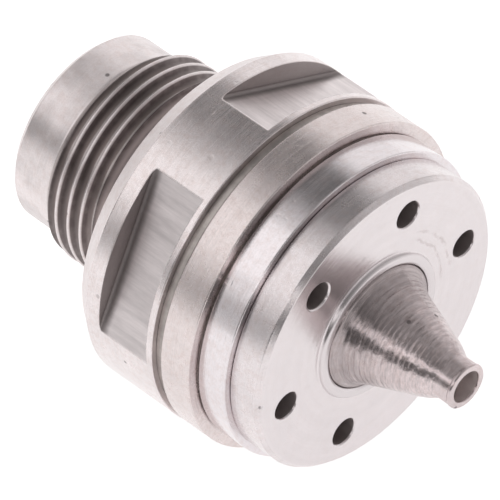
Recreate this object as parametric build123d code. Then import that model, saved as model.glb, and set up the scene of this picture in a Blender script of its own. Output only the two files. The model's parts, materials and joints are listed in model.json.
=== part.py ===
from build123d import *
import os

# Air-atomising oil burner nozzle. The nozzle axis is X and the spray leaves towards +X.
# The origin is the centre of the shoulder that seats on the nozzle holder.
# All sizes are millimetres. Outlines are lists of (x, radius) corner points.

# ---------------------------------------------------------------- fits
FIT = 0.03                 # running and location clearance per side
SEAT = 0.02                # gap left between clamped flat faces
PRESS = 0.01               # gap left round pressed-in pieces
EDGE = 0.1                 # broken edge of a turned piece
SMALLEST_CUT = 0.001       # cubic millimetres that any cut takes away at least

# ---------------------------------------------------------------- stations along the axis
X_REAR = -9.9              # rear end of the pilot nose
X_INLET = -7.7             # bottom of the oil inlet counterbore
X_THREAD_REAR = -6.75      # end of the plain pilot, start of the lead-in chamfer
X_THREAD_FRONT = -2.6      # middle of the thread's front chamfer
X_WEB_REAR = -2.1          # web between the strainer and the check valve
X_WEB_FRONT = -1.1
X_SEAT_FRONT = 0.1         # sealing rim of the valve seat
X_SPRING_FRONT = 4.7       # spring end that rests on the retainer
X_CLIP_REAR = 6.1
X_CLIP_FRONT = 6.5
X_FLAT_REAR = 2.25         # rear wall of the spanner flats
X_FLAT_FRONT = 6.1         # front end of the spanner flats
X_GALLERY = 4.5            # bottom of the air gallery
X_COLLAR_FRONT = 6.55      # front face of the collar
X_AIR_RING = 7.2           # rear face of the air ring
X_AIR_RING_FRONT = 9.5     # front face of the air ring
X_PLENUM = 9.62            # rear face of the plenum ring
X_CAP = 11.75              # rear rim of the face cap
X_SKIRT = 7.85             # rear end of the cap's threaded skirt
X_TIP_SOCKET = 8.0         # bottom of the oil tip's socket
X_LOCK_REAR = 9.2          # lock screw
X_LOCK_FRONT = 12.0
X_SPIGOT = 11.8            # front end of the body spigot
X_FACE = 14.0              # front face with the air ports
X_SWIRL = 18.2             # start of the swirl cone
X_ORIFICE_REAR = 19.15
X_ORIFICE_FRONT = 19.95
X_TIP = 21.25              # end of the oil tip

# ---------------------------------------------------------------- body
PILOT_R = 6.3
PILOT_NOSE_R = 6.0
THREAD_R = 7.0             # M14 x 1
THREAD_PITCH = 1.0
THREAD_DEPTH = 0.613
THREAD_TURN = 166.0        # turn of the thread's start round the axis, degrees
RELIEF_R = 6.25
COLLAR_R = 11.0
COLLAR_CHAMFER_LENGTH = 1.2
COLLAR_CHAMFER_DEPTH = 0.85
FLATS_ACROSS = 19.0        # 19 mm spanner
FLAT_ANGLES = (64.5, 154.5, 244.5, 334.5)   # measured from +Z towards -Y
FLAT_FILLET = 0.2          # corner radius left by the cutter at the foot of the rear wall
OIL_INLET_R = 3.5
STRAINER_BORE_R = 3.2
WEB_HOLE_R = 1.5
VALVE_BORE_R = 2.7
TIP_SOCKET_R = 3.2
SPIGOT_R = 5.5             # M11 x 0.75 for the face cap
SPIGOT_PITCH = 0.75
SPIGOT_DEPTH = 0.4
GALLERY_IN_R = 6.5
GALLERY_OUT_R = 8.75

# ---------------------------------------------------------------- air path and stacked rings
PORT_COUNT = 6
PORT_CIRCLE_R = 7.55
PORT_R = 0.9
PORT_PHASE = 10.0          # angle of the first port from +Y towards +Z
AIR_INLET_R = 0.7
AIR_INLET_CIRCLE_R = 4.95
AIR_INLET_PHASE = PORT_PHASE + 30.0
METERING_R = 0.55
METERING_LEAN = 20.0       # lean of the metering holes round the axis, degrees
AIR_RING_R = 10.95
PLENUM_R = 10.25
GASKET_IN_R = 8.8
COLLAR_GASKET_R = 10.6
RING_GASKET_R = 10.1
REGISTER_R = GALLERY_OUT_R - FIT
PIN_R = 0.45
PIN_CIRCLE_R = 9.45
PIN_ANGLES = (109.5, 289.5)   # midway between two flats
PIN_DEPTH = 1.4            # pin length inside the collar
PIN_REACH = 0.9            # pin length inside the plenum ring

# ---------------------------------------------------------------- face cap
CAP_R = 9.8
CAP_CHAMFER = 0.3
CAP_STEP = 0.35            # depth of the recess behind the ports
SKIRT_R = 6.55
LIP_OUT_R = 4.85
LIP_HEIGHT = 0.3
COUNTERSINK_DEPTH = 0.08   # edge break of the air ports

# ---------------------------------------------------------------- oil tip
TIP_FLANGE_R = 5.1
TIP_FLANGE_LENGTH = 1.0
TIP_NECK_R = 4.15
LIP_IN_R = TIP_NECK_R + FIT    # the cap's lip closes round the neck
TIP_STEM_R = TIP_SOCKET_R - FIT
TIP_BORE_R = 1.7
TIP_END_R = 1.47
TIP_MOUTH_R = 1.03
ORIFICE_R = 0.3
ORIFICE_SEAT_R = 1.0
SWIRL_SLOT_COUNT = 3
SWIRL_SLOT_WIDTH = 0.32
SWIRL_SLOT_OFFSET = 0.55   # slot centre from the axis, so that the oil enters off centre
SWIRL_SLOT_PHASE = 15.0
O_RING_X = 9.9
O_RING_FLOOR_R = 2.45
LOCK_R = 2.0
LOCK_BORE_R = 0.75
LOCK_SLOT_WIDTH = 0.6      # screwdriver slot in the rear of the lock screw
# (distance in front of the face, radius) down the cone
CONE_PROFILE = (
    (0.10, 4.13),
    (0.25, 3.98),
    (0.50, 3.73),
    (0.85, 3.53),
    (1.30, 3.32),
    (1.80, 3.11),
    (2.75, 2.77),
    (3.55, 2.51),
    (4.40, 2.22),
    (5.00, 2.00),
    (5.50, 1.76),
    (5.80, 1.59),
    (5.93, 1.50),
)

# ---------------------------------------------------------------- check valve
POPPET_STROKE = 0.8
X_POPPET = X_SEAT_FRONT + SEAT
POPPET_STEM_R = 0.6
POPPET_HEAD_R = 1.85
POPPET_NECK_R = 0.55
SEAL_R = 1.75
SEAL_LENGTH = 0.45
SPRING_R = 1.25
SPRING_WIRE_R = 0.16
SPRING_TURNS = 5.5
X_SPRING_REAR = X_POPPET + 1.09
GUIDE_R = 0.65
RETAINER_HOLE_COUNT = 5
RETAINER_HOLE_R = 0.4
RETAINER_CIRCLE_R = 1.82
RETAINER_PHASE = 18.0
CLIP_R = 3.1
CLIP_IN_R = 2.15
CLIP_GAP = 1.5             # gap between the ends of the snap ring
CLIP_EYE = (1.15, -2.02)   # y and z of one plier eye
CLIP_EYE_R = 0.42
CLIP_EYE_HOLE_R = 0.16

# ---------------------------------------------------------------- strainer
PLUG_BORE_R = 2.3
PLUG_SLOT_WIDTH = 0.8      # screwdriver slot across the strainer plug
X_PLUG_REAR = X_INLET + 0.1
X_PLUG_FRONT = X_INLET + 2.3
SCREEN_R = 2.5
SCREEN_THICK = 0.1
X_SCREEN_FRONT = X_WEB_REAR - 1.0
SCREEN_SEAT_R = SCREEN_R + SCREEN_THICK + 0.02
SCREEN_SEAT_DEPTH = 0.6
SCREEN_ROWS = 4
SCREEN_HOLES = 12          # perforations in one row
SCREEN_HOLE_R = 0.16
CAGE_RIB_COUNT = 4
CAGE_WINDOW_WIDTH = 2.6


# ---------------------------------------------------------------- helpers
def turned(points):
    """Solid of revolution about X from (x, radius) corner points."""
    face = make_face(Polyline([(x, r, 0) for x, r in points], close=True))
    return revolve(face, Axis.X, 360)


def rod(x0, x1, r):
    return turned([(x0, 0), (x0, r), (x1, r), (x1, 0)])


def tube(x0, x1, r_in, r_out):
    return turned([(x0, r_in), (x0, r_out), (x1, r_out), (x1, r_in)])


def at_angle(shape, degrees):
    """Turn a shape made in the XY plane to an angle about X, from +Y towards +Z."""
    return Rot(degrees, 0, 0) * shape


def drill(x0, x1, radius, circle_r, degrees):
    """Axial hole whose centre lies on a circle about X."""
    return at_angle(Pos(0, circle_r, 0) * rod(x0, x1, radius), degrees)


def drill_between(p0, p1, radius, degrees):
    """Oblique drilling between two (x, radius) points."""
    a = Vector(p0[0], p0[1], 0)
    b = Vector(p1[0], p1[1], 0)
    plane = Plane(origin=a, z_dir=b - a)
    hole = plane * Cylinder(radius, (b - a).length, align=(Align.CENTER, Align.CENTER, Align.MIN))
    return at_angle(hole, degrees)


def ring_angles(count, phase=0.0):
    return [phase + 360.0 / count * k for k in range(count)]


def pin_holes(x0, x1, clearance):
    """The two holes that the locating pins pass through."""
    return [drill(x0, x1, PIN_R + clearance, PIN_CIRCLE_R, a) for a in PIN_ANGLES]


def cut(shape, *tools):
    """Remove each tool in turn, and stop the build if one of them takes nothing away."""
    for tool in tools:
        before = shape.volume
        shape -= tool
        if before - shape.volume < SMALLEST_CUT:
            raise ValueError("a cut removed nothing")
    return shape


def thread_groove(x0, x1, major_r, pitch, depth, root_flat, crest_flat):
    """V-shaped cutter swept along a helix about X. Its turns stay clear of each other."""
    reach = 0.05
    half_root = root_flat / 2
    half_open = (pitch - crest_flat) / 2 * (1 + reach / depth)
    wire = Helix(pitch, x1 - x0, major_r - depth)
    plane = Plane(origin=wire @ 0, x_dir=(1, 0, 0), z_dir=wire % 0)
    profile = plane * make_face(Polyline([
        (0, -half_root),
        (depth + reach, -half_open),
        (depth + reach, half_open),
        (0, half_root),
    ], close=True))
    cutter = sweep(profile, path=wire, is_frenet=True)
    return Pos(x0, 0, 0) * (Rot(0, 90, 0) * cutter)


def save(shape, name):
    os.makedirs("parts", exist_ok=True)
    export_step(shape, "parts/" + name + ".step")
    print(name, len(shape.solids()), round(shape.volume, 3))


# ---------------------------------------------------------------- nozzle body
def body_blank():
    return turned([
        (X_REAR, 0),
        (X_REAR, PILOT_NOSE_R - EDGE),
        (X_REAR + EDGE, PILOT_NOSE_R),
        (X_REAR + 4 * EDGE, PILOT_R),
        (X_THREAD_REAR, PILOT_R),
        (X_THREAD_REAR + THREAD_R - PILOT_R, THREAD_R),
        (X_THREAD_FRONT - 0.3, THREAD_R),
        (X_THREAD_FRONT + 0.3, RELIEF_R),
        (-0.3, RELIEF_R),
        (0, RELIEF_R + 0.3),
        (0, COLLAR_R - COLLAR_CHAMFER_DEPTH),
        (COLLAR_CHAMFER_LENGTH, COLLAR_R),
        (X_COLLAR_FRONT - EDGE / 2, COLLAR_R),
        (X_COLLAR_FRONT, COLLAR_R - EDGE / 2),
        (X_COLLAR_FRONT, GALLERY_OUT_R),
        (X_GALLERY + 0.5, GALLERY_OUT_R),
        (X_GALLERY, GALLERY_OUT_R - 0.5),
        (X_GALLERY, GALLERY_IN_R),
        (X_COLLAR_FRONT, GALLERY_IN_R),
        (X_COLLAR_FRONT, SPIGOT_R - 0.5),
        (X_SKIRT - 0.2, SPIGOT_R - 0.5),
        (X_SKIRT + 0.2, SPIGOT_R),
        (X_SPIGOT - 0.3, SPIGOT_R),
        (X_SPIGOT, SPIGOT_R - 0.3),
        (X_SPIGOT, 0),
    ])


def body_bores():
    """Oil inlet, strainer bore, web hole, valve bore and oil tip socket as one stepped plug."""
    return turned([
        (X_REAR - 1, 0),
        (X_REAR - 1, OIL_INLET_R + 0.15),
        (X_REAR, OIL_INLET_R + 0.15),
        (X_REAR + 0.15, OIL_INLET_R),
        (X_INLET, OIL_INLET_R),
        (X_INLET, STRAINER_BORE_R),
        (X_WEB_REAR, STRAINER_BORE_R),
        (X_WEB_REAR, WEB_HOLE_R),
        (X_WEB_FRONT, WEB_HOLE_R),
        (X_WEB_FRONT, VALVE_BORE_R),
        (X_TIP_SOCKET - 0.4, VALVE_BORE_R),
        (X_TIP_SOCKET, TIP_SOCKET_R),
        (X_SPIGOT - 0.15, TIP_SOCKET_R),
        (X_SPIGOT + 0.15, TIP_SOCKET_R + 0.3),
        (X_SPIGOT + 1, TIP_SOCKET_R + 0.3),
        (X_SPIGOT + 1, 0),
    ])


def flat_pocket():
    """Material removed for one spanner flat, with the cutter's radius at the rear foot."""
    pocket = Box(
        X_FLAT_FRONT - X_FLAT_REAR, 2 * COLLAR_R, 4,
        align=(Align.MIN, Align.MIN, Align.MIN))
    foot = pocket.edges().filter_by(Axis.Y).sort_by(Axis.Z)[:2].sort_by(Axis.X)[0]
    pocket = fillet(foot, FLAT_FILLET)
    return Pos(X_FLAT_REAR, -COLLAR_R, FLATS_ACROSS / 2) * pocket


def make_body():
    mounting_thread = thread_groove(
        X_THREAD_REAR - 0.45, X_THREAD_FRONT + 0.3, THREAD_R, THREAD_PITCH,
        THREAD_DEPTH, 0.13, 0.14)
    spigot_thread = thread_groove(
        X_SKIRT + 0.15, X_SPIGOT + 0.1, SPIGOT_R, SPIGOT_PITCH,
        SPIGOT_DEPTH, 0.1, 0.12)
    body = Rot(THREAD_TURN, 0, 0) * cut(body_blank(), mounting_thread, spigot_thread)
    clip_groove = tube(X_CLIP_REAR - SEAT, X_CLIP_FRONT + SEAT, VALVE_BORE_R - 0.2, CLIP_R + SEAT)
    body = cut(body, body_bores(), clip_groove)
    for a in FLAT_ANGLES:
        body = cut(body, Rot(a, 0, 0) * flat_pocket())
    # six air passages: axial in the threaded stub, then outwards to the gallery
    x_turn = 1.4
    for a in ring_angles(PORT_COUNT, AIR_INLET_PHASE):
        start = (x_turn - 0.25, AIR_INLET_CIRCLE_R)
        end = (X_GALLERY + 0.4, PORT_CIRCLE_R + 0.15)
        body = cut(
            body,
            drill(X_REAR - 1, x_turn, AIR_INLET_R, AIR_INLET_CIRCLE_R, a),
            drill_between(start, end, AIR_INLET_R, a))
    return cut(body, *pin_holes(X_COLLAR_FRONT - PIN_DEPTH - 0.1, X_COLLAR_FRONT + 1, PRESS))


# ---------------------------------------------------------------- stacked rings
def make_collar_gasket():
    gasket = tube(X_COLLAR_FRONT + SEAT, X_AIR_RING - SEAT, GASKET_IN_R, COLLAR_GASKET_R)
    return cut(gasket, *pin_holes(X_COLLAR_FRONT - 1, X_AIR_RING + 1, FIT))


def make_air_ring():
    ring = turned([
        (X_AIR_RING, SKIRT_R + FIT),
        (X_AIR_RING, AIR_RING_R - EDGE),
        (X_AIR_RING + EDGE, AIR_RING_R),
        (X_AIR_RING_FRONT - EDGE / 2, AIR_RING_R),
        (X_AIR_RING_FRONT, AIR_RING_R - EDGE / 2),
        (X_AIR_RING_FRONT, REGISTER_R),
        (X_AIR_RING_FRONT + 0.9, REGISTER_R),
        (X_AIR_RING_FRONT + 0.9, REGISTER_R - 0.7),
        (X_AIR_RING_FRONT - 0.5, REGISTER_R - 0.9),
        (X_AIR_RING_FRONT - 0.5, SKIRT_R + FIT),
    ])
    # metering holes, leaned round the axis to swirl the air
    x_middle = X_AIR_RING + 1.05
    for a in ring_angles(PORT_COUNT, PORT_PHASE):
        hole = Rot(0, METERING_LEAN, 0) * rod(-3, 3, METERING_R)
        ring = cut(ring, at_angle(Pos(x_middle, PORT_CIRCLE_R - 0.2, 0) * hole, a))
    return cut(ring, *pin_holes(X_AIR_RING - 1, X_AIR_RING_FRONT + 1, PRESS))


def make_ring_gasket():
    gasket = tube(X_AIR_RING_FRONT + SEAT, X_PLENUM - SEAT, GASKET_IN_R, RING_GASKET_R)
    return cut(gasket, *pin_holes(X_AIR_RING_FRONT - 1, X_PLENUM + 1, FIT))


def make_plenum_ring():
    ring = turned([
        (X_PLENUM, GALLERY_OUT_R),
        (X_PLENUM, PLENUM_R - EDGE / 2),
        (X_PLENUM + EDGE / 2, PLENUM_R),
        (X_CAP - SEAT - EDGE / 2, PLENUM_R),
        (X_CAP - SEAT, PLENUM_R - EDGE / 2),
        (X_CAP - SEAT, GALLERY_OUT_R + CAP_STEP),
        (X_CAP - SEAT - CAP_STEP, GALLERY_OUT_R),
    ])
    return cut(ring, *pin_holes(X_PLENUM - 1, X_PLENUM + PIN_REACH + 0.1, PRESS))


def make_locating_pins():
    """Two dowels that keep the stacked rings in register."""
    x0 = X_COLLAR_FRONT - PIN_DEPTH
    x1 = X_PLENUM + PIN_REACH
    pin = turned([
        (x0, 0),
        (x0, PIN_R - EDGE),
        (x0 + EDGE, PIN_R),
        (x1 - EDGE, PIN_R),
        (x1, PIN_R - EDGE),
        (x1, 0),
    ])
    return Compound(children=[at_angle(Pos(0, PIN_CIRCLE_R, 0) * pin, a) for a in PIN_ANGLES])


# ---------------------------------------------------------------- face cap
def make_face_cap():
    x_clamp = X_SPIGOT + TIP_FLANGE_LENGTH + 2 * SEAT
    cap = turned([
        (X_SKIRT, SPIGOT_R + FIT),
        (X_SKIRT, SKIRT_R - 0.15),
        (X_SKIRT + 0.15, SKIRT_R),
        (X_CAP + CAP_STEP, SKIRT_R),
        (X_CAP + CAP_STEP, GALLERY_OUT_R),
        (X_CAP, GALLERY_OUT_R + CAP_STEP),
        (X_CAP, CAP_R - EDGE / 2),
        (X_CAP + EDGE / 2, CAP_R),
        (X_FACE - CAP_CHAMFER, CAP_R),
        (X_FACE, CAP_R - CAP_CHAMFER),
        (X_FACE, LIP_OUT_R + 0.08),
        (X_FACE + 0.06, LIP_OUT_R),
        (X_FACE + LIP_HEIGHT - 0.1, LIP_OUT_R - 0.04),
        (X_FACE + LIP_HEIGHT - 0.03, LIP_OUT_R - 0.12),
        (X_FACE + LIP_HEIGHT, LIP_OUT_R - 0.22),
        (X_FACE + LIP_HEIGHT, LIP_IN_R + 0.15),
        (X_FACE + LIP_HEIGHT - 0.1, LIP_IN_R),
        (x_clamp, LIP_IN_R),
        (x_clamp, TIP_FLANGE_R + FIT),
        (X_SPIGOT + 2 * SEAT, TIP_FLANGE_R + FIT),
        (X_SPIGOT + 2 * SEAT, SPIGOT_R + FIT),
    ])
    countersink = turned([
        (X_FACE - COUNTERSINK_DEPTH, 0),
        (X_FACE - COUNTERSINK_DEPTH, PORT_R),
        (X_FACE + COUNTERSINK_DEPTH, PORT_R + 2 * COUNTERSINK_DEPTH),
        (X_FACE + COUNTERSINK_DEPTH, 0),
    ])
    for a in ring_angles(PORT_COUNT, PORT_PHASE):
        port = drill(X_CAP - 1, X_FACE + 1, PORT_R, PORT_CIRCLE_R, a)
        cap = cut(cap, port, at_angle(Pos(0, PORT_CIRCLE_R, 0) * countersink, a))
    return cap


# ---------------------------------------------------------------- oil tip and swirl parts
def make_oil_tip():
    flange_rear = X_SPIGOT + SEAT
    stem_rear = X_TIP_SOCKET + 0.5
    groove_rear = O_RING_X - 0.5
    groove_front = O_RING_X + 0.5
    bore_rear = X_LOCK_FRONT + 0.3
    return turned([
        (stem_rear, LOCK_R + FIT + 0.15),
        (stem_rear, TIP_STEM_R - 0.2),
        (stem_rear + 0.2, TIP_STEM_R),
        (groove_rear, TIP_STEM_R),
        (groove_rear, O_RING_FLOOR_R),
        (groove_front, O_RING_FLOOR_R),
        (groove_front, TIP_STEM_R),
        (flange_rear, TIP_STEM_R),
        (flange_rear, TIP_FLANGE_R),
        (flange_rear + TIP_FLANGE_LENGTH, TIP_FLANGE_R),
        (flange_rear + TIP_FLANGE_LENGTH, TIP_NECK_R),
        (X_FACE - 0.1, TIP_NECK_R),
        *[(X_FACE + a, r) for a, r in CONE_PROFILE],
        (X_FACE + 6.0, TIP_END_R - 0.03),
        (X_TIP - 0.42, TIP_END_R - 0.03),
        (X_TIP - 0.30, TIP_END_R - 0.10),
        (X_TIP - 0.26, TIP_END_R - 0.10),
        (X_TIP - 0.22, TIP_END_R + 0.02),
        (X_TIP - 0.12, TIP_END_R + 0.02),
        (X_TIP - 0.04, TIP_END_R - 0.04),
        (X_TIP, TIP_END_R - 0.15),
        (X_TIP, TIP_MOUTH_R + EDGE),
        (X_TIP - EDGE, TIP_MOUTH_R),
        (X_ORIFICE_FRONT + 0.05, TIP_MOUTH_R),
        (X_ORIFICE_FRONT + 0.05, 0.62),
        (X_ORIFICE_FRONT, 0.62),
        (X_ORIFICE_FRONT, ORIFICE_SEAT_R),
        (X_ORIFICE_REAR, ORIFICE_SEAT_R),
        (X_ORIFICE_REAR, 1.23),
        (X_SWIRL, 1.35),
        (X_FACE + 3.0, TIP_BORE_R),
        (bore_rear, TIP_BORE_R),
        (bore_rear, LOCK_R + FIT),
        (stem_rear + 0.15, LOCK_R + FIT),
    ])


def make_orifice_insert():
    seat_r = ORIFICE_SEAT_R - PRESS
    return turned([
        (X_ORIFICE_REAR + SEAT, 0.72),
        (X_ORIFICE_REAR + SEAT, seat_r),
        (X_ORIFICE_FRONT - SEAT, seat_r),
        (X_ORIFICE_FRONT - SEAT, ORIFICE_R + 0.12),
        (X_ORIFICE_FRONT - 0.16, ORIFICE_R),
        (X_ORIFICE_FRONT - 0.36, ORIFICE_R),
    ])


def make_swirl_plug():
    """Distributor with three tangential slots in its conical nose."""
    x_rear = X_LOCK_FRONT + 0.35
    x_nose = X_ORIFICE_REAR - 0.05
    plug = turned([
        (x_rear, 0),
        (x_rear, 1.05),
        (x_rear + 0.4, 1.3),
        (X_SWIRL - 1.9, 1.3),
        (X_SWIRL - 1.7, 1.5),
        (X_SWIRL - 1.2, 1.5),
        (X_SWIRL - 0.2, 1.28),
        (x_nose, 1.16),
        (x_nose, 0.55),
        (x_nose - 0.35, 0.45),
        (x_nose - 0.35, 0),
    ])
    slot = Pos(X_SWIRL - 2.0, SWIRL_SLOT_OFFSET, 0) * Box(
        3.4, SWIRL_SLOT_WIDTH, 4, align=(Align.MIN, Align.CENTER, Align.MIN))
    for a in ring_angles(SWIRL_SLOT_COUNT, SWIRL_SLOT_PHASE):
        plug = cut(plug, Rot(a, 0, 0) * slot)
    return plug


def make_lock_screw():
    """Hollow slotted screw that holds the swirl plug against its seat."""
    screw = turned([
        (X_LOCK_REAR, LOCK_BORE_R),
        (X_LOCK_REAR, LOCK_R - 0.15),
        (X_LOCK_REAR + 0.15, LOCK_R),
        (X_LOCK_FRONT - 0.15, LOCK_R),
        (X_LOCK_FRONT, LOCK_R - 0.15),
        (X_LOCK_FRONT, 1.1),
        (X_LOCK_FRONT - 0.4, LOCK_BORE_R),
    ])
    nick = Pos(X_LOCK_FRONT, 1.35, 0) * Box(0.8, 1.1, 0.5)
    nicks = [at_angle(nick, a) for a in ring_angles(4, 45)]
    return cut(screw, Pos(X_LOCK_REAR, 0, 0) * Box(1.6, LOCK_SLOT_WIDTH, 6), *nicks)


def make_tip_o_ring():
    middle_r = (TIP_SOCKET_R + O_RING_FLOOR_R) / 2
    section_r = (TIP_SOCKET_R - O_RING_FLOOR_R) / 2 - PRESS
    circle = Pos(O_RING_X, middle_r) * Circle(section_r)
    return revolve(circle, Axis.X, 360)


# ---------------------------------------------------------------- check valve
def make_valve_seat():
    rear = X_WEB_FRONT + SEAT
    seat_r = VALVE_BORE_R - PRESS
    return turned([
        (rear, 1.0),
        (rear, seat_r - 0.15),
        (rear + 0.15, seat_r),
        (X_SEAT_FRONT - 0.25, seat_r),
        (X_SEAT_FRONT - 0.25, 1.6),
        (X_SEAT_FRONT, 1.5),
        (X_SEAT_FRONT, 1.2),
        (X_SEAT_FRONT - 0.15, 1.0),
    ])


def make_poppet_seal():
    return tube(X_POPPET, X_POPPET + SEAL_LENGTH, POPPET_NECK_R + PRESS, SEAL_R)


def make_valve_poppet():
    back = X_POPPET + SEAL_LENGTH + SEAT
    end = X_SPRING_FRONT + 1.05
    return turned([
        (X_POPPET - 0.3, 0),
        (X_POPPET - 0.3, 0.6),
        (X_POPPET - 0.1, 0.8),
        (X_POPPET - SEAT, 0.8),
        (X_POPPET - SEAT, POPPET_NECK_R),
        (back, POPPET_NECK_R),
        (back, SEAL_R),
        (back + 0.1, POPPET_HEAD_R),
        (back + 0.5, POPPET_HEAD_R),
        (back + 0.6, SEAL_R),
        (back + 0.6, 0.95),
        (back + 0.9, 0.85),
        (back + 1.1, POPPET_STEM_R),
        (end - EDGE, POPPET_STEM_R),
        (end, POPPET_STEM_R - EDGE),
        (end, 0),
    ])


def make_valve_spring():
    """Round wire coil between the poppet head and the retainer."""
    length = X_SPRING_FRONT - X_SPRING_REAR - 2 * SPRING_WIRE_R - SEAT
    wire = Helix(length / SPRING_TURNS, length, SPRING_R)
    section = Plane(origin=wire @ 0, z_dir=wire % 0) * Circle(SPRING_WIRE_R)
    coil = sweep(section, path=wire, is_frenet=True)
    return Pos(X_SPRING_REAR + SPRING_WIRE_R + PRESS, 0, 0) * (Rot(0, 90, 0) * coil)


def make_spring_retainer():
    """Spider with a guide bore for the poppet stem and a ring of oil holes."""
    rim_r = VALVE_BORE_R - SEAT
    retainer = turned([
        (X_SPRING_FRONT, GUIDE_R),
        (X_SPRING_FRONT, rim_r - EDGE),
        (X_SPRING_FRONT + EDGE, rim_r),
        (X_CLIP_REAR - SEAT, rim_r),
        (X_CLIP_REAR - SEAT, CLIP_IN_R),
        (X_SPRING_FRONT + 0.8, CLIP_IN_R),
        (X_SPRING_FRONT + 0.8, 1.15),
        (X_CLIP_FRONT, 1.0),
        (X_CLIP_FRONT, GUIDE_R),
    ])
    for a in ring_angles(RETAINER_HOLE_COUNT, RETAINER_PHASE):
        hole = drill(X_SPRING_FRONT - 1, X_SPRING_FRONT + 2, RETAINER_HOLE_R, RETAINER_CIRCLE_R, a)
        retainer = cut(retainer, hole)
    return retainer


def make_retaining_ring():
    """Snap ring with a gap and two eyes."""
    ring = tube(X_CLIP_REAR, X_CLIP_FRONT, CLIP_IN_R, CLIP_R)
    ring = cut(ring, Pos((X_CLIP_REAR + X_CLIP_FRONT) / 2, 0, -2.7) * Box(1, CLIP_GAP, 1.6))
    eye = tube(X_CLIP_REAR, X_CLIP_FRONT, CLIP_EYE_HOLE_R, CLIP_EYE_R)
    for side in (-1, 1):
        ring += Pos(0, side * CLIP_EYE[0], CLIP_EYE[1]) * eye
    return ring


# ---------------------------------------------------------------- strainer
def make_strainer_plug():
    outer_r = STRAINER_BORE_R - FIT
    plug = turned([
        (X_PLUG_REAR, PLUG_BORE_R + 0.15),
        (X_PLUG_REAR, outer_r - 0.15),
        (X_PLUG_REAR + 0.15, outer_r),
        (X_PLUG_FRONT - 0.15, outer_r),
        (X_PLUG_FRONT, outer_r - 0.15),
        (X_PLUG_FRONT, SCREEN_SEAT_R),
        (X_PLUG_FRONT - SCREEN_SEAT_DEPTH, SCREEN_SEAT_R),
        (X_PLUG_FRONT - SCREEN_SEAT_DEPTH, PLUG_BORE_R),
        (X_PLUG_REAR + 0.15, PLUG_BORE_R),
    ])
    return cut(plug, Pos(X_PLUG_REAR, 0, 0) * Box(1.0, PLUG_SLOT_WIDTH, 8))


def make_strainer_cage():
    """Brass frame: two hoops joined by ribs."""
    x0 = X_PLUG_FRONT - SCREEN_SEAT_DEPTH + SEAT
    x1 = X_SCREEN_FRONT
    cage = tube(x0, x1, SCREEN_R - 0.42, SCREEN_R - 0.06)
    window = Pos((x0 + x1) / 2, 3, 0) * Box(x1 - x0 - 1.2, 6, CAGE_WINDOW_WIDTH)
    return cut(cage, *[at_angle(window, a) for a in ring_angles(CAGE_RIB_COUNT, 45)])


def make_strainer_screen():
    """Sleeve with staggered rows of perforations."""
    screen = tube(X_PLUG_FRONT - 0.55, X_SCREEN_FRONT, SCREEN_R, SCREEN_R + SCREEN_THICK)
    first = X_PLUG_FRONT + 0.4
    step = (X_SCREEN_FRONT - 0.75 - first) / (SCREEN_ROWS - 1)
    stagger = 180.0 / SCREEN_HOLES
    hole = Cylinder(SCREEN_HOLE_R, 3, align=(Align.CENTER, Align.CENTER, Align.MIN))
    for k in range(SCREEN_ROWS):
        for a in ring_angles(SCREEN_HOLES, stagger * (k % 2)):
            screen = cut(screen, Pos(first + step * k, 0, 0) * (Rot(a, 0, 0) * hole))
    return screen


def make_strainer_end_cap():
    x = X_SCREEN_FRONT + SEAT
    return turned([
        (x - 0.7, 0),
        (x - 0.7, SCREEN_R - 0.45),
        (x, SCREEN_R - 0.45),
        (x, SCREEN_SEAT_R),
        (x - 0.5, SCREEN_SEAT_R),
        (x - 0.5, SCREEN_SEAT_R + 0.15),
        (x + 0.3, SCREEN_SEAT_R + 0.15),
        (x + 0.5, SCREEN_SEAT_R - 0.05),
        (x + 0.5, 0),
    ])


# ---------------------------------------------------------------- build every node
PARTS = {
    "nozzle_body": make_body,
    "collar_gasket": make_collar_gasket,
    "air_ring": make_air_ring,
    "ring_gasket": make_ring_gasket,
    "plenum_ring": make_plenum_ring,
    "locating_pins": make_locating_pins,
    "face_cap": make_face_cap,
    "oil_tip": make_oil_tip,
    "orifice_insert": make_orifice_insert,
    "swirl_plug": make_swirl_plug,
    "lock_screw": make_lock_screw,
    "tip_o_ring": make_tip_o_ring,
    "valve_seat": make_valve_seat,
    "poppet_seal": make_poppet_seal,
    "valve_poppet": make_valve_poppet,
    "valve_spring": make_valve_spring,
    "spring_retainer": make_spring_retainer,
    "retaining_ring": make_retaining_ring,
    "strainer_plug": make_strainer_plug,
    "strainer_cage": make_strainer_cage,
    "strainer_screen": make_strainer_screen,
    "strainer_end_cap": make_strainer_end_cap,
}

for name, make in PARTS.items():
    save(make(), name)

stem_end = X_SPRING_FRONT + 1.05 + POPPET_STROKE
print("room ahead of the lifted poppet stem", round(X_TIP_SOCKET - stem_end, 2))
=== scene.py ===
import json
import math

import bpy
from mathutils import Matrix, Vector, noise


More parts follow.
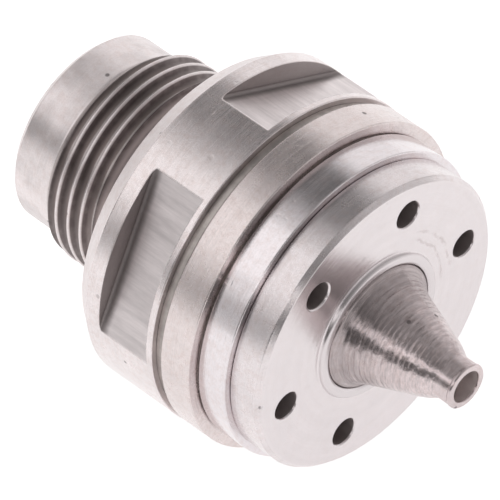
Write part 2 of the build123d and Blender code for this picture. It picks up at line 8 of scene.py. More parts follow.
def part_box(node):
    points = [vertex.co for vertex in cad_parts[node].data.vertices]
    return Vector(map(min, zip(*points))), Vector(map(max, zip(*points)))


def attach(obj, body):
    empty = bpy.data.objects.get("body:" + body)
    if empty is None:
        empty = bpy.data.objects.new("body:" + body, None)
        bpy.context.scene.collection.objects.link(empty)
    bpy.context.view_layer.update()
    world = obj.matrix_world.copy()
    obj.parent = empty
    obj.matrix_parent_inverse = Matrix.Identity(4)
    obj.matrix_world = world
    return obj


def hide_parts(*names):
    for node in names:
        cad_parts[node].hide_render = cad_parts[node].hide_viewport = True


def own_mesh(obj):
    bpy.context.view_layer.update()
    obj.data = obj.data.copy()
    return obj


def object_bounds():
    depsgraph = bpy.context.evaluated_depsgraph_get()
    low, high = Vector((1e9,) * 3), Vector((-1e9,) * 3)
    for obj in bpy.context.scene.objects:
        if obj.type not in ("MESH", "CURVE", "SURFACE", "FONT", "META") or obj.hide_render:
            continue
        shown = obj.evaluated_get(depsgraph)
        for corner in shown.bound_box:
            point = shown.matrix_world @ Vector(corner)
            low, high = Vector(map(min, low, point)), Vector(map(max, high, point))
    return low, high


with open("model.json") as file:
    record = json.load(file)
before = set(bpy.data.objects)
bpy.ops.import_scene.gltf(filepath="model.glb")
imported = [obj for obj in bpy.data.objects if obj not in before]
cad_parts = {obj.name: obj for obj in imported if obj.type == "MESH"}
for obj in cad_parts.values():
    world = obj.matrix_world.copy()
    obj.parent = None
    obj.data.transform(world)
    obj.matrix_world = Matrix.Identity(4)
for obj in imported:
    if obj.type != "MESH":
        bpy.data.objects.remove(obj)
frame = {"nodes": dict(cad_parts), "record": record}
CAD_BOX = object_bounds()
MM = 0.001                 # one millimetre, in metres
MICRON = 1e-6              # one micrometre, in metres

# ------------------------------------------------------------------ places on the nozzle, mm
# x runs along the axis towards the spray, and r is measured from the axis
LIP_HEIGHT = 0.3           # the lip stands this far in front of the face
X_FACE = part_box("face_cap")[1].x / MM - LIP_HEIGHT
X_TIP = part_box("oil_tip")[1].x / MM
X_THREAD_REAR = -6.75      # end of the plain pilot
X_RELIEF = -2.35           # end of the thread, start of the relief
X_SHOULDER = 0.0           # rear face of the collar
X_FLAT_REAR = 2.25         # rear wall of the spanner flats
X_FLAT_FRONT = 6.1         # front end of the spanner flats
FLAT_REACH = 9.5           # distance of each flat from the axis
FLAT_TURN = math.radians(64.5)   # turn of one flat from +Z towards -Y; there is one at every quarter turn
THREAD_R = 7.0
COLLAR_R = 11.0
LIP_R = 4.85               # outside of the lip
PORT_CIRCLE_R = 7.55       # circle of the air ports
PORT_REACH = 0.95          # a port's radius and a little more
MOUTH_R = 1.03


# ------------------------------------------------------------------ node helpers
class Graph:
    """Short way of adding and linking shader nodes."""

    def __init__(self, tree):
        self.tree = tree
        tree.nodes.clear()

    def add(self, kind, **settings):
        node = self.tree.nodes.new(kind)
        for key, value in settings.items():
            setattr(node, key, value)
        return node

    def put(self, socket, value):
        """Link the socket to another node's output, or set it to a plain value."""
        if hasattr(value, "is_linked"):
            self.tree.links.new(value, socket)
        else:
            socket.default_value = value

    def math(self, operation, a, b=0.0, c=0.0, clamp=False):
        node = self.add("ShaderNodeMath", operation=operation, use_clamp=clamp)
        for socket, value in zip(node.inputs, (a, b, c)):
            self.put(socket, value)
        return node.outputs[0]

    def times(self, product, *factors):
        for factor in factors:
            product = self.math("MULTIPLY", product, factor)
        return product

    def minus(self, a, b):
        return self.math("SUBTRACT", a, b)

    def size(self, value):
        """The value without its sign."""
        return self.math("ABSOLUTE", value)

    def scaled(self, value, factor, base, clamp=False):
        """The value times the factor, plus the base."""
        return self.math("MULTIPLY_ADD", value, factor, base, clamp)

    def length(self, a, b):
        """Length of the vector (a, b)."""
        return self.math("SQRT", self.math("ADD", self.times(a, a), self.times(b, b)))

    def combine(self, x, y, z):
        node = self.add("ShaderNodeCombineXYZ")
        for socket, value in zip(node.inputs, (x, y, z)):
            self.put(socket, value)
        return node.outputs[0]

    def split(self, vector):
        node = self.add("ShaderNodeSeparateXYZ")
        self.put(node.inputs[0], vector)
        return node.outputs

    def noise(self, vector, scale, detail=2.0, roughness=0.5, w=None):
        node = self.add("ShaderNodeTexNoise")
        if w is not None:
            node.noise_dimensions = "4D"
            self.put(node.inputs["W"], w)
        self.put(node.inputs["Vector"], vector)
        self.put(node.inputs["Scale"], scale)
        self.put(node.inputs["Detail"], detail)
        self.put(node.inputs["Roughness"], roughness)
        return node.outputs["Fac"]

    def ramp(self, value, low, high, out_low=0.0, out_high=1.0, kind="SMOOTHSTEP"):
        """From out_low at low to out_high at high, and level beyond them."""
        node = self.add("ShaderNodeMapRange", interpolation_type=kind)
        self.put(node.inputs["Value"], value)
        self.put(node.inputs["From Min"], low)
        self.put(node.inputs["From Max"], high)
        self.put(node.inputs["To Min"], out_low)
        self.put(node.inputs["To Max"], out_high)
        return node.outputs["Result"]

    def fall(self, value, low, high):
        """1 below low and 0 above high."""
        return self.ramp(value, low, high, 1.0, 0.0)

    def band(self, value, low, high, soft):
        """1 between low and high, falling to 0 over the soft width."""
        return self.times(self.ramp(value, low - soft, low), self.fall(value, high, high + soft))

    def mix(self, factor, a, b, blend="MIX"):
        """Colour between a and b."""
        node = self.add("ShaderNodeMix", data_type="RGBA", blend_type=blend)
        self.put(node.inputs[0], factor)
        self.put(node.inputs[6], a)
        self.put(node.inputs[7], b)
        return node.outputs[2]

    def shaded(self, color, tone):
        """The colour times a grey tone."""
        return self.mix(1.0, color, self.combine(tone, tone, tone), "MULTIPLY")

    def blend(self, factor, a, b):
        """Number between a and b."""
        node = self.add("ShaderNodeMix", data_type="FLOAT")
        self.put(node.inputs[0], factor)
        self.put(node.inputs[2], a)
        self.put(node.inputs[3], b)
        return node.outputs[0]

    def rounded(self, radius):
        """Normal of the surface with its edges rounded over by the radius."""
        node = self.add("ShaderNodeBevel", samples=6)
        self.put(node.inputs["Radius"], radius)
        return node.outputs["Normal"]

    def bump(self, height, distance, normal=None):
        node = self.add("ShaderNodeBump")
        self.put(node.inputs["Distance"], distance)
        self.put(node.inputs["Height"], height)
        if normal is not None:
            self.put(node.inputs["Normal"], normal)
        return node.outputs["Normal"]


def rgba(color, factor=1.0):
    return (*[min(1.0, c * factor) for c in color], 1.0)


def new_material(name):
    material = bpy.data.materials.new(name)
    material.use_nodes = True
    return material, Graph(material.node_tree)


def finish_surface(g, color, roughness, normal=None, metallic=1.0, anisotropic=0.0):
    shader = g.add("ShaderNodeBsdfPrincipled")
    g.put(shader.inputs["Base Color"], color)
    g.put(shader.inputs["Roughness"], roughness)
    shader.inputs["Metallic"].default_value = metallic
    shader.inputs["Anisotropic"].default_value = anisotropic
    if normal is not None:
        g.put(shader.inputs["Normal"], normal)
    if anisotropic:
        # grooves run round the axis, so gloss spreads across them
        shader.inputs["Anisotropic Rotation"].default_value = 0.25
        tangent = g.add("ShaderNodeTangent", direction_type="RADIAL", axis="X")
        g.put(shader.inputs["Tangent"], tangent.outputs[0])
    out = g.add("ShaderNodeOutputMaterial")
    g.put(out.inputs["Surface"], shader.outputs[0])
    return shader


class Turned:
    """Position on a turned piece, in mm: along the axis, out from it and round it."""

    def __init__(self, g):
        self.g = g
        place = g.split(g.add("ShaderNodeTexCoord").outputs["Object"])
        self.x, self.y, self.z = [g.times(metres, 1 / MM) for metres in place]
        self.r = g.length(self.y, self.z)
        safe = g.math("MAXIMUM", self.r, 0.05)
        self.cos = g.math("DIVIDE", self.y, safe)
        self.sin = g.math("DIVIDE", self.z, safe)
        self.mm = g.combine(self.x, self.y, self.z)

    def marks(self, per_mm, streak, detail=3.0):
        """Noise drawn out round the axis, as a lathe tool leaves it."""
        g = self.g
        vector = g.combine(g.times(self.x, per_mm), g.times(self.cos, streak), g.times(self.sin, streak))
        return g.noise(vector, scale=1.0, detail=detail, roughness=0.6, w=g.times(self.r, per_mm))

    def milled(self, per_mm):
        """Noise drawn out along the axis, as a cutter leaves it on a flat."""
        g = self.g
        vector = g.combine(g.times(self.x, 0.25), g.times(self.y, per_mm), g.times(self.z, per_mm))
        return g.noise(vector, scale=1.0, detail=4.0, roughness=0.65)


class Look:
    """Colour, roughness and normal of a surface, to which layers are added one after another."""

    def __init__(self, g, tint, roughness, normal):
        self.g = g
        self.tint = tint
        self.roughness = roughness
        self.normal = normal

    def paint(self, mask, color):
        """Turn to the colour where the mask is 1."""
        self.tint = self.g.mix(mask, self.tint, color)

    def roughen(self, mask, amount):
        """Add the amount to the roughness where the mask is 1."""
        self.roughness = self.g.scaled(mask, amount, self.roughness)

    def set_roughness(self, mask, value):
        """Turn to the roughness value where the mask is 1."""
        self.roughness = self.g.blend(mask, self.roughness, value)

    def emboss(self, height, step_um):
        """Bend the normal as if a height of 1 stood step_um micrometres proud."""
        self.normal = self.g.bump(height, step_um * MICRON, self.normal)


# ------------------------------------------------------------------ steel finishes
EDGE_ROUND = 0.11 * MM     # in shading only: every edge looks rounded over by this radius


def small_pits(g, at, pits):
    """1 in small round pits. There are more of them the larger pits is."""
    cells = g.add("ShaderNodeTexVoronoi", distance="EUCLIDEAN")
    g.put(cells.inputs["Vector"], at.mm)
    g.put(cells.inputs["Scale"], 0.62)
    lot = g.math("MODULO", g.times(g.noise(cells.outputs["Position"], scale=3.7, detail=0.0), 9.0), 1.0)
    chosen = g.ramp(lot, 0.80 - pits * 8, 0.82 - pits * 8)
    return g.times(chosen, g.fall(cells.outputs["Distance"], 0.06, 0.12))


def turned_steel(name, color, rough, marks=5.0, coarse_um=8.0, fine_um=4.0, grain_um=3.0,
                 knock_um=5.0, pits=0.0, stain=0.12, anisotropic=0.5, extra=None):
    """Turned stainless steel: tool marks, peened grain, cloudy stain, pits and small knocks.

    Tool marks are counted per mm. A function given as extra adds what only one piece has.
    """
    material, g = new_material(name)
    at = Turned(g)
    coarse = at.marks(marks, streak=1.2)
    fine = at.marks(marks * 4.3, streak=3.0)
    cloud = g.noise(at.mm, scale=0.55, detail=3.0)
    patch = g.noise(at.mm, scale=2.3, detail=4.0, roughness=0.65)
    grain = g.noise(at.mm, scale=11.0, detail=3.0, roughness=0.7)
    knocks = g.ramp(g.noise(at.mm, scale=1.3, detail=1.0, roughness=0.4), 0.20, 0.30)
    pit = small_pits(g, at, pits)

    warm = (color[0] * 0.97, color[1] * 0.94, color[2] * 0.925)
    tint = g.mix(g.ramp(patch, 0.40, 0.70), rgba(color, 1.02), rgba(warm))
    tone = g.scaled(g.minus(cloud, 0.5), stain * 2, 1.0)
    tone = g.scaled(g.minus(fine, 0.5), 0.25, tone)
    tone = g.scaled(g.minus(grain, 0.5), 0.32, tone)
    roughness = g.scaled(g.minus(cloud, 0.5), 0.14, rough)
    roughness = g.scaled(g.minus(patch, 0.5), 0.10, roughness)
    roughness = g.scaled(pit, 0.3, roughness, clamp=True)
    tool_marks = g.scaled(fine, fine_um / coarse_um, coarse)

    look = Look(g, g.shaded(tint, tone), roughness, g.rounded(EDGE_ROUND))
    look.paint(g.times(pit, 0.7), rgba(color, 0.25))
    look.emboss(tool_marks, coarse_um)
    look.emboss(grain, grain_um)
    look.emboss(g.minus(knocks, pit), knock_um)
    if extra is not None:
        extra(g, at, look, color)
    finish_surface(g, look.tint, look.roughness, look.normal, anisotropic=anisotropic)
    return material


# ------------------------------------------------------------------ what only the body has
WALL_SHADE = (0.24, 0.205, 0.20, 1.0)
FOOT_SHADE = (0.10, 0.085, 0.083, 1.0)
ROOT_SHADE = (0.50, 0.45, 0.44, 1.0)
FLANK_SHADE = (0.155, 0.130, 0.128, 1.0)
PATCHY_SHADE = (0.45, 0.40, 0.39, 1.0)
RELIEF_STAIN = (0.20, 0.18, 0.19, 1.0)


def distance_to_flats(g, at):
    """Distance from the axis, measured square to the flat that faces this way."""
    cos = math.cos(FLAT_TURN)
    sin = math.sin(FLAT_TURN)
    across = g.scaled(at.z, cos, g.times(at.y, -sin))
    along = g.scaled(at.z, sin, g.times(at.y, cos))
    return g.math("MAXIMUM", g.size(across), g.size(along))


def milled_flats(g, at, look, color, reach):
    """Milling streaks on the four flats."""
    flats = g.times(
        g.band(at.x, X_FLAT_REAR + 0.10, X_FLAT_FRONT - 0.05, 0.05),
        g.band(reach, FLAT_REACH - 0.03, FLAT_REACH + 0.03, 0.02),
        g.fall(at.r, COLLAR_R - 0.07, COLLAR_R - 0.03))
    streak = at.milled(3.2)
    broad = at.milled(0.9)
    tone = g.times(g.ramp(streak, 0.30, 0.70, 0.86, 1.04, "LINEAR"), g.ramp(broad, 0.3, 0.7, 0.90, 1.06))
    look.paint(flats, g.shaded(rgba(color, 1.04), tone))
    look.set_roughness(flats, g.ramp(streak, 0.3, 0.7, 0.42, 0.32))
    look.emboss(g.times(streak, flats), 3.0)


def shaded_walls(g, at, look, reach):
    """Painted shade on the flats' rear walls and just in front of them, darkest in the cutter's radius at
    their foot.
    """
    wall = g.times(
        g.band(at.x, X_FLAT_REAR - 0.05, X_FLAT_REAR + 0.75, 0.04),
        g.fall(at.r, COLLAR_R - 0.06, COLLAR_R - 0.02),
        g.fall(at.x, X_FLAT_REAR + 0.10, X_FLAT_REAR + 0.75))
    # painted shade: the walls and the flats beside them turn dark, most of all at the walls
    look.paint(g.times(wall, 0.72), WALL_SHADE)
    look.set_roughness(wall, 0.5)
    foot = g.times(wall, g.band(reach, FLAT_REACH, FLAT_REACH + 0.22, 0.08))
    # painted shade: darker still in the cutter's radius at the foot of each wall
    look.paint(g.times(foot, 0.45), FOOT_SHADE)


def shaded_thread(g, at, look):
    """Bright crests, and painted shade below them: dark on the flanks, paler in the roots and in patches.
    """
    thread = g.band(at.x, X_THREAD_REAR, X_RELIEF, 0.1)
    below_crest = g.times(thread, g.fall(at.r, THREAD_R - 0.12, THREAD_R - 0.03))
    above_root = g.ramp(at.r, THREAD_R - 0.58, THREAD_R - 0.25)
    lighter_patches = g.ramp(g.noise(at.mm, scale=1.6, detail=3.0), 0.35, 0.70, 0.0, 0.22)
    # painted shade: below its crests the thread is painted dark, darkest on the flanks
    oil = g.mix(lighter_patches, g.mix(above_root, ROOT_SHADE, FLANK_SHADE), PATCHY_SHADE)
    look.paint(below_crest, oil)


def blotched_relief(g, at, look):
    """Grey with dark blotches, between the thread and the shoulder."""
    relief = g.times(
        g.band(at.x, X_RELIEF, X_SHOULDER - 0.02, 0.1),
        g.fall(at.r, THREAD_R - 0.4, THREAD_R - 0.3))
    blotch = g.ramp(g.noise(at.mm, scale=0.9, detail=3.0, roughness=0.6), 0.50, 0.72)
    look.paint(g.times(relief, g.blend(blotch, 0.30, 0.80)), RELIEF_STAIN)


def mottled_pilot(g, at, look):
    """Light and dark patches, as from handling, and a lean in the reflections."""
    pilot = g.fall(at.x, X_THREAD_REAR - 0.20, X_THREAD_REAR - 0.05)
    mottle = g.noise(at.mm, scale=0.42, detail=3.0, roughness=0.55)
    look.paint(pilot, g.shaded(look.tint, g.ramp(mottle, 0.36, 0.60, 0.90, 1.05)))
    # shading only: the pilot reflects as if it narrowed by 0.14 mm in radius for each mm towards the rear
    look.emboss(g.math("MINIMUM", at.x, X_THREAD_REAR - 0.15), 140.0)


def body_extra(g, at, look, color):
    """Spanner flats, finely finished collar, blotched relief, mottled pilot; painted shade at the flats'
    walls and in the thread.
    """
    reach = distance_to_flats(g, at)
    milled_flats(g, at, look, color, reach)
    # the collar's outside is smoother than the rest of the body
    look.roughen(g.ramp(at.r, COLLAR_R - 0.07, COLLAR_R - 0.03), -0.11)
    # painted shade at the rear walls of the flats
    shaded_walls(g, at, look, reach)
    # painted shade in the thread
    shaded_thread(g, at, look)
    blotched_relief(g, at, look)
    mottled_pilot(g, at, look)


# ------------------------------------------------------------------ what only the face cap has
SCUFFS = ((0.35, 0.25, 5.8), (0.15, 0.3, 5.3))   # (y, z, radius) in mm of scuff circles on the face
SCUFF_SIDE = (0.88, 0.47)                        # direction from the axis, in y and z, where they show
SCUFF_BROWN = (0.40, 0.34, 0.325, 1.0)
SOOT = (0.36, 0.31, 0.305, 1.0)


def scuffed_face(g, at, look, face):
    """Broken, slightly brown arcs beside the lip."""
    wobble = g.scaled(g.noise(at.mm, scale=1.1, detail=2.0), 0.5, -0.25)
    circles = 0.0
    for y, z, radius in SCUFFS:
        from_centre = g.length(g.minus(at.y, y), g.minus(at.z, z))
        away = g.size(g.minus(g.math("ADD", from_centre, wobble), radius))
        circles = g.math("MAXIMUM", circles, g.fall(away, 0.02, 0.16))
    side = g.scaled(at.cos, SCUFF_SIDE[0], g.times(at.sin, SCUFF_SIDE[1]))
    unworn = g.ramp(g.noise(at.mm, scale=1.2, detail=2.0), 0.30, 0.60)
    broken = g.times(unworn, g.ramp(side, 0.84, 0.93))
    scuffs = g.times(circles, face, broken, g.ramp(at.r, LIP_R + 0.10, LIP_R + 0.20))
    look.paint(g.times(scuffs, 0.34), SCUFF_BROWN)
    look.roughen(scuffs, 0.15)


def face_extra(g, at, look, color):
    """Concentric marks and scuffs on the front face, a duller lip, and oil soot inside the air ports."""
    face = g.ramp(at.x, X_FACE - 0.07, X_FACE - 0.01)
    rings = g.noise(g.combine(g.times(at.r, 7.0), 0.0, 0.0), scale=1.0, detail=4.0, roughness=0.7)
    broad = g.noise(g.combine(g.times(at.r, 1.6), 4.0, 0.0), scale=1.0, detail=2.0, roughness=0.5)
    tone = g.times(g.ramp(rings, 0.25, 0.75, 0.97, 1.02, "LINEAR"), g.ramp(broad, 0.3, 0.7, 0.985, 1.01))
    look.paint(g.times(face, 0.7), g.shaded(rgba(color, 1.05), tone))
    look.set_roughness(face, g.ramp(rings, 0.3, 0.7, 0.15, 0.22))
    look.emboss(g.times(rings, face), 2.5)
    scuffed_face(g, at, look, face)
    lip = g.times(g.ramp(at.x, X_FACE + 0.02, X_FACE + 0.08), g.fall(at.r, LIP_R + 0.05, LIP_R + 0.15))
    look.set_roughness(lip, 0.28)
    look.paint(lip, rgba(color, 0.97))
    inside_ports = g.times(
        g.fall(at.x, X_FACE - 0.14, X_FACE - 0.09),
        g.band(at.r, PORT_CIRCLE_R - PORT_REACH, PORT_CIRCLE_R + PORT_REACH, 0.03))
    look.paint(inside_ports, SOOT)
    look.set_roughness(inside_ports, 0.6)


# ------------------------------------------------------------------ what only the oil tip has
MOUTH_STAIN = (0.62, 0.55, 0.54, 1.0)


def tip_extra(g, at, look, color):
    """Stronger lathe marks and an oil stain on the cone, and a stained mouth."""
    cone = g.band(at.x, X_FACE + 0.3, X_FACE + 6.0, 0.15)
    chatter = at.marks(7.0, streak=2.6, detail=2.0)
    fine = at.marks(22.0, streak=6.0, detail=2.0)
    look.paint(cone, g.shaded(look.tint, g.ramp(chatter, 0.32, 0.68, 0.80, 1.10, "LINEAR")))
    # the stain is darkest where the cone leaves the lip
    stain = g.ramp(at.x, X_FACE, X_FACE + 4.5, 0.66, 1.0)
    look.tint = g.mix(1.0, look.tint, g.combine(stain, g.times(stain, 0.985), stain), "MULTIPLY")
    look.emboss(g.times(g.scaled(fine, 0.4, chatter), cone), 16.0)
    mouth = g.times(
        g.fall(at.x, X_TIP - 0.14, X_TIP - 0.09),
        g.fall(at.r, MOUTH_R + 0.04, MOUTH_R + 0.07),
        g.ramp(at.x, X_TIP - 1.6, X_TIP - 1.5))
    look.paint(mouth, MOUTH_STAIN)
    look.set_roughness(mouth, 0.55)


# ------------------------------------------------------------------ finishes of the inner pieces
DUST = (0.20, 0.195, 0.19, 1.0)


def plain_metal(name, color, rough, grain=3.0, depth_um=8.0):
    """Metal of a small inner piece: fine turning, slight stain."""
    material, g = new_material(name)
    at = Turned(g)
    marks = at.marks(grain, streak=1.5)
    stain = g.noise(at.mm, scale=1.3, detail=4.0, roughness=0.6)
    tint = g.mix(g.ramp(stain, 0.35, 0.7), rgba(color, 1.05), rgba(color, 0.78))
    finish_surface(g, tint, g.scaled(marks, 0.18, rough - 0.09), g.bump(marks, depth_um * MICRON))
    return material


def rubber(name, color, rough):
    """Matt rubber, dusty, with a fine pebble."""
    material, g = new_material(name)
    at = Turned(g)
    pebble = g.noise(at.mm, scale=9.0, detail=4.0, roughness=0.6)
    dust = g.noise(at.mm, scale=1.6, detail=5.0, roughness=0.7)
    tint = g.mix(g.ramp(dust, 0.45, 0.75, 0.0, 0.25), rgba(color), DUST)
    finish_surface(g, tint, g.scaled(dust, 0.2, rough - 0.1), g.bump(pebble, 20.0 * MICRON), metallic=0.0)
    return material


# ------------------------------------------------------------------ materials by slot
BODY = (0.72, 0.662, 0.662)
RING = (0.675, 0.607, 0.60)
CAP = (0.685, 0.635, 0.642)
TIP = (0.60, 0.53, 0.525)
GROUND = (0.72, 0.675, 0.69)

MATERIALS = {
    "body_steel": turned_steel("body_steel", BODY, rough=0.36, marks=4.5, pits=0.015, extra=body_extra),
    "ring_steel": turned_steel("ring_steel", RING, rough=0.26, marks=6.0, grain_um=4.5, pits=0.02),
    "cap_steel": turned_steel("cap_steel", CAP, rough=0.26, knock_um=0.5, pits=0.015, extra=face_extra),
    "tip_steel": turned_steel("tip_steel", TIP, rough=0.24, marks=6.0, coarse_um=14.0, fine_um=8.0,
                              grain_um=5.0, pits=0.03, stain=0.2, anisotropic=0.3, extra=tip_extra),
    "pin_steel": plain_metal("pin_steel", (0.62, 0.60, 0.59), rough=0.22),
    "insert_steel": plain_metal("insert_steel", (0.62, 0.59, 0.58), rough=0.24),
    "spring_steel": plain_metal("spring_steel", (0.50, 0.50, 0.51), rough=0.26),
    "gauze_steel": plain_metal("gauze_steel", (0.60, 0.59, 0.57), rough=0.30, grain=8.0),
    "gasket_steel": plain_metal("gasket_steel", (0.46, 0.42, 0.40), rough=0.40, grain=4.0, depth_um=12.0),
    "brass": plain_metal("brass", (0.78, 0.58, 0.28), rough=0.26),
    "seal_rubber": rubber("seal_rubber", (0.022, 0.022, 0.024), rough=0.55),
}
# the plenum ring looks ground: smoother and cooler than the turned rings beside it
GROUND_STEEL = turned_steel("ring_steel_ground", GROUND, rough=0.17, marks=9.0, coarse_um=4.0, fine_um=2.0,
                            grain_um=1.0, stain=0.05, anisotropic=0.6)

for part in frame["record"]["subparts"]:
    node = frame["nodes"][part["node"]]
    material = GROUND_STEEL if part["node"] == "plenum_ring" else MATERIALS[part["material_slot"]]
    if not node.data.materials:
        node.data.materials.append(material)
    for place in node.material_slots:
        place.material = material


# ------------------------------------------------------------------ oil tip with its rough-turned cone, mm
TIP_LOW, TIP_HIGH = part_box("oil_tip")
GAP = 0.02                 # left between the tip and what it touches
STEM_X = TIP_LOW.x / MM
FLANGE_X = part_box("nozzle_body")[1].x / MM + GAP
ORIFICE_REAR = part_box("orifice_insert")[0].x / MM - GAP
ORIFICE_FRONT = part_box("orifice_insert")[1].x / MM + GAP
FLANGE_R = TIP_HIGH.z / MM
FLANGE_LENGTH = 1.0
STEM_R = 3.17
GROOVE_R = 2.45            # floor of the O-ring groove
GROOVE_HALF = 0.5          # half the groove's width
NECK_R = 4.15
END_R = 1.47               # short tube at the end of the cone
BORE_R = 1.7
LOCK_R = 2.03              # bore for the lock screw
SEAT_R = 1.0               # bore for the orifice insert
OUTLET_R = 0.62            # hole in front of the orifice insert
SWIRL_R = (1.35, 1.23)     # rear and front of the short taper behind the orifice insert
SEGMENTS = 200             # faces round the axis
STEP = 0.03                # distance between two outline points on the cone
FEED = 0.31                # distance between two tool passes on the cone
# (distance in front of the face, radius) down the cone
CONE = (
    (0.18, 4.14), (0.26, 4.07), (0.36, 3.92), (0.55, 3.72), (0.85, 3.53), (1.30, 3.32), (1.80, 3.11),
    (2.75, 2.77), (3.55, 2.51), (4.40, 2.22), (5.00, 2.00), (5.50, 1.76), (5.80, 1.59), (5.93, 1.50),
)


def smooth_outline(points, step):
    """Evenly stepped points on a curve through the given (x, r) points."""
    line = []
    for k in range(len(points) - 1):
        p0 = points[max(k - 1, 0)]
        p1 = points[k]
        p2 = points[k + 1]
        p3 = points[min(k + 2, len(points) - 1)]
        pieces = max(2, round((p2[0] - p1[0]) / step))
        for j in range(pieces):
            t = j / pieces
            line.append(tuple(
                0.5 * (2 * b + (c - a) * t + (2 * a - 5 * b + 4 * c - d) * t ** 2
                       + (3 * b - a - 3 * c + d) * t ** 3)
                for a, b, c, d in zip(p0, p1, p2, p3)))
    line.append(points[-1])
    return line


def ridge(x, angle):
    """Height in mm that the cutting tool left at a place on the cone. It is cut in from the outline."""
    turn = (x - X_FACE) / FEED - angle / (2 * math.pi)
    pass_number = math.floor(turn)
    place = turn - pass_number
    depth = 0.026 + 0.020 * noise.noise((pass_number * 1.7, 0.3, 0.0))
    cusp = depth * (4 * (place - 0.5) ** 2 - 1)
    around = (math.cos(angle), math.sin(angle))
    chatter = noise.noise((x * 3.2, around[0] * 5.0, around[1] * 5.0))
    tear = noise.noise((x * 9.0, around[0] * 14.0, around[1] * 14.0))
    fade = min(1.0, max(0.0, (x - X_FACE - 0.1) / 0.5))
    return fade * (cusp + 0.016 * (chatter - 0.7) + 0.009 * (tear - 0.7))


def stem_outline():
    """(x, r) points from the rear end over the O-ring groove and the flange to the neck."""
    ring_low, ring_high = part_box("tip_o_ring")
    ring_x = (ring_low.x + ring_high.x) / 2 / MM
    return [
        (STEM_X, LOCK_R + 0.15), (STEM_X, STEM_R - 0.2), (STEM_X + 0.2, STEM_R),
        (ring_x - GROOVE_HALF, STEM_R), (ring_x - GROOVE_HALF, GROOVE_R),
        (ring_x + GROOVE_HALF, GROOVE_R), (ring_x + GROOVE_HALF, STEM_R),
        (FLANGE_X, STEM_R), (FLANGE_X, FLANGE_R),
        (FLANGE_X + FLANGE_LENGTH, FLANGE_R), (FLANGE_X + FLANGE_LENGTH, NECK_R),
        (X_FACE - 0.1, NECK_R),
    ]


def end_outline():
    """(x, r) points from the end of the cone over the tube's rim and back through the bore."""
    lock_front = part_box("lock_screw")[1].x / MM + 0.3
    return [
        (X_FACE + 6.0, END_R - 0.03), (X_TIP - 0.42, END_R - 0.03), (X_TIP - 0.32, END_R - 0.10),
        (X_TIP - 0.28, END_R - 0.10), (X_TIP - 0.25, END_R), (X_TIP - 0.20, END_R + 0.018),
        (X_TIP - 0.12, END_R + 0.015), (X_TIP - 0.06, END_R - 0.010), (X_TIP - 0.025, END_R - 0.045),
        (X_TIP - 0.006, END_R - 0.095), (X_TIP, END_R - 0.16), (X_TIP, MOUTH_R + 0.08),
        (X_TIP - 0.020, MOUTH_R + 0.03), (X_TIP - 0.1, MOUTH_R),
        (ORIFICE_FRONT + 0.05, MOUTH_R), (ORIFICE_FRONT + 0.05, OUTLET_R), (ORIFICE_FRONT, OUTLET_R),
        (ORIFICE_FRONT, SEAT_R), (ORIFICE_REAR, SEAT_R),
        (ORIFICE_REAR, SWIRL_R[1]), (ORIFICE_REAR - 0.95, SWIRL_R[0]),
        (X_FACE + 3.0, BORE_R), (lock_front, BORE_R), (lock_front, LOCK_R), (STEM_X + 0.15, LOCK_R),
    ]


def oil_tip():
    """Lathe form of the whole tip. Only the cone in front of the face carries ridges."""
    cone = smooth_outline([(X_FACE + ahead, r) for ahead, r in CONE], STEP)
    rings = [(x, r, False) for x, r in stem_outline()]
    rings += [(x, r, True) for x, r in cone]
    rings += [(x, r, False) for x, r in end_outline()]
    verts = []
    for x, r, rough in rings:
        for k in range(SEGMENTS):
            a = 2 * math.pi * k / SEGMENTS
            radius = r + (ridge(x, a) if rough else 0.0)
            verts.append((x * MM, radius * MM * math.cos(a), radius * MM * math.sin(a)))
    faces = []
    for i in range(len(rings)):
        j = (i + 1) % len(rings)
        for k in range(SEGMENTS):
            m = (k + 1) % SEGMENTS
            faces.append((i * SEGMENTS + k, i * SEGMENTS + m, j * SEGMENTS + m, j * SEGMENTS + k))
    mesh = bpy.data.meshes.new("oil_tip_turned")
    mesh.from_pydata(verts, [], faces)
    mesh.materials.append(MATERIALS["tip_steel"])
    mesh.polygons.foreach_set("use_smooth", [True] * len(mesh.polygons))
    mesh.update()
    tip = bpy.data.objects.new("oil_tip_turned", mesh)
    bpy.context.scene.collection.objects.link(tip)
    # corners of the outline stay sharp
    mesh.set_sharp_from_angle(angle=math.radians(35))
    return tip


tip = oil_tip()
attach(tip, "nozzle")
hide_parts("oil_tip")


# ------------------------------------------------------------------ valve spring
def valve_spring():
    """Round-wire coil, and the place where its front end rests."""
    low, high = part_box("valve_spring")
    wire_r = 0.16 * MM
    mean_r = (high.y - low.y) / 2 - wire_r
    x0 = low.x + wire_r
    x1 = high.x - wire_r
    turns = 5.5
    points_per_turn = 40
    count = int(turns * points_per_turn) + 1
    curve = bpy.data.curves.new("valve_spring_coil", "CURVE")
    curve.dimensions = "3D"
    curve.bevel_depth = wire_r
    curve.bevel_resolution = 4
    curve.use_fill_caps = True
    line = curve.splines.new("POLY")
    line.points.add(count - 1)
    for k in range(count):
        t = k / (count - 1)
        a = 2 * math.pi * turns * t
        line.points[k].co = (x0 + (x1 - x0) * t, mean_r * math.cos(a), mean_r * math.sin(a), 1.0)
    wire_form = bpy.data.objects.new("wire_form", curve)
    mesh = bpy.data.meshes.new_from_object(wire_form)
    bpy.data.objects.remove(wire_form)
    coil = bpy.data.objects.new("valve_spring_coil", mesh)
    bpy.context.scene.collection.objects.link(coil)
    mesh.materials.append(MATERIALS["spring_steel"])
    return coil, Vector((x1 + wire_r, 0, 0))


coil, coil_foot = valve_spring()
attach(coil, "nozzle")
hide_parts("valve_spring")
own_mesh(coil)


# ------------------------------------------------------------------ floor, light and camera
PAPER = ((0.66, 0.66, 0.66, 1), (0.70, 0.70, 0.70, 1))
DARK_PAPER = (0.10, 0.10, 0.10, 1)
PAPER_GLOW = 0.74
DARK_GLOW = (0.28, 0.0)    # beside the nozzle's rear, and beside its front


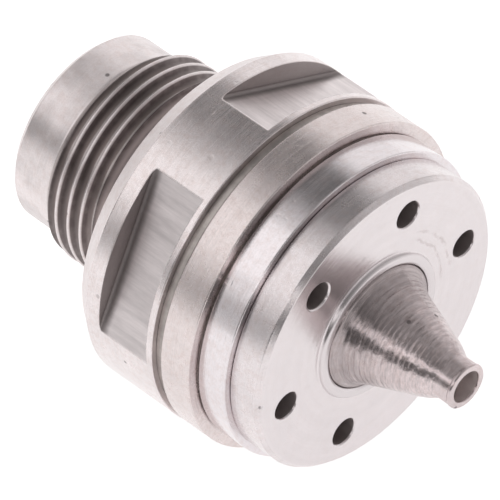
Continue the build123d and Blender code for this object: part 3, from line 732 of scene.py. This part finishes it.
def make_floor():
    """Pale paper that glows a little, so that the object's shadow stays faint."""
    low, _ = CAD_BOX
    size = 3.0
    mesh = bpy.data.meshes.new("floor")
    corners = [(-size, -size, 0), (size, -size, 0), (size, size, 0), (-size, size, 0)]
    mesh.from_pydata(corners, [], [(0, 1, 2, 3)])
    floor = bpy.data.objects.new("floor", mesh)
    floor.location = (0, 0, low.z)
    bpy.context.scene.collection.objects.link(floor)
    material, g = new_material("floor_paper")
    position = g.add("ShaderNodeTexCoord").outputs["Object"]
    x, y, _ = g.split(position)
    # painted shade: 0.07 m to 0.20 m out on the -y side the paper is darker, most of all ahead of x = 0
    aside = g.fall(y, -0.20, -0.07)
    front = g.ramp(x, -0.02, 0.03)
    paper = g.mix(g.noise(position, scale=900.0, detail=3.0), *PAPER)
    # painted shade: a dark patch on the paper that the nozzle reflects
    tint = g.mix(g.times(aside, front), paper, DARK_PAPER)
    shader = finish_surface(g, tint, 0.85, metallic=0.0)
    shader.inputs["Emission Color"].default_value = (1.0, 1.0, 1.0, 1.0)
    # painted shade: the patch also glows less
    g.put(shader.inputs["Emission Strength"], g.blend(aside, PAPER_GLOW, g.blend(front, *DARK_GLOW)))
    mesh.materials.append(material)


def make_world():
    """White light tent with a dark gap above the nozzle and a dark patch beside it, on the -y side.

    Both differ between three zones along x, and the tent is dimmer straight behind the nozzle. The angle
    is 0 straight up, and positive towards +y.
    """
    world = bpy.data.worlds.new("tent")
    bpy.context.scene.world = world
    world.use_nodes = True
    g = Graph(world.node_tree)
    x, y, z = g.split(g.add("ShaderNodeTexCoord").outputs["Generated"])
    angle = g.math("DEGREES", g.math("ARCTAN2", y, z))
    forward = g.ramp(x, -0.42, 0.10)
    back = g.fall(x, -0.63, -0.56)

    def by_zone(in_middle, in_back, in_front):
        return g.blend(forward, g.blend(back, in_middle, in_back), in_front)

    # the gap is deep in the middle zone and shallow in the back zone
    beside = g.math("ADD", g.fall(angle, -30.0, 16.0), g.ramp(angle, 29.0, 55.0))
    gap_level = g.blend(back, 0.13, 0.78)
    above = g.scaled(beside, g.minus(1.0, gap_level), gap_level)
    # the front zone is bright below -58 degrees, darkest near -40 and slowly lighter from there on
    bright_side = g.ramp(angle, -58.0, -43.0, 1.6, 0.18)
    lighter = g.ramp(angle, -38.0, 110.0, 0.0, 0.72, "LINEAR")
    above = g.blend(forward, above, g.math("ADD", bright_side, lighter))
    # the patch is nearly level with the nozzle
    off_patch = g.size(g.math("ADD", angle, g.blend(back, 86.0, 80.0)))
    inner = by_zone(5.0, 10.0, 14.0)
    outer = by_zone(20.0, 25.0, 28.0)
    patch = g.ramp(off_patch, inner, outer, by_zone(0.62, 0.03, 0.05), 1.0)
    rear = g.ramp(x, -0.97, -0.84, 0.70, 1.0)
    cool = g.fall(angle, -100.0, -80.0)
    tent = g.add("ShaderNodeBackground")
    g.put(tent.inputs["Color"], g.mix(cool, (1.0, 0.985, 0.985, 1), (0.965, 0.975, 1.0, 1)))
    g.put(tent.inputs["Strength"], g.times(above, patch, rear, 1.04))
    out = g.add("ShaderNodeOutputWorld")
    g.put(out.inputs["Surface"], tent.outputs[0])


def soft_light(name, location, target, size, power):
    light = bpy.data.lights.new(name, "AREA")
    light.shape = "DISK"
    light.size = size
    light.energy = power
    lamp = bpy.data.objects.new(name, light)
    lamp.location = location
    lamp.rotation_mode = "QUATERNION"
    lamp.rotation_quaternion = (Vector(target) - Vector(location)).to_track_quat("-Z", "Y")
    bpy.context.scene.collection.objects.link(lamp)


def make_camera():
    """Long lens, 45 degrees to the right of the nozzle's nose and 45 degrees up.

    It aims to the left of the face's centre and above it, so the face stands right of and below the middle.
    """
    azimuth = math.radians(44.4)
    elevation = math.radians(44.85)
    distance = 464.5 * MM
    aim_left = 7.31 * MM
    aim_up = 4.33 * MM
    back = Vector((math.sin(azimuth) * math.cos(elevation),
                   -math.cos(azimuth) * math.cos(elevation),
                   math.sin(elevation)))
    right = Vector((math.cos(azimuth), math.sin(azimuth), 0))
    up = back.cross(right)
    target = Vector((X_FACE * MM, 0, 0)) - right * aim_left + up * aim_up
    data = bpy.data.cameras.new("camera")
    data.sensor_width = 36
    data.lens = 576
    data.clip_start = 0.01
    data.clip_end = 20
    camera = bpy.data.objects.new("camera", data)
    camera.location = target + back * distance
    camera.rotation_mode = "QUATERNION"
    camera.rotation_quaternion = (-back).to_track_quat("-Z", "Y")
    bpy.context.scene.collection.objects.link(camera)
    bpy.context.scene.camera = camera


make_floor()
make_world()
soft_light("key", location=(-0.9, -1.0, 1.3), target=(0, 0, 0), size=1.2, power=0.7)
make_camera()
bpy.context.scene.view_settings.view_transform = "Standard"
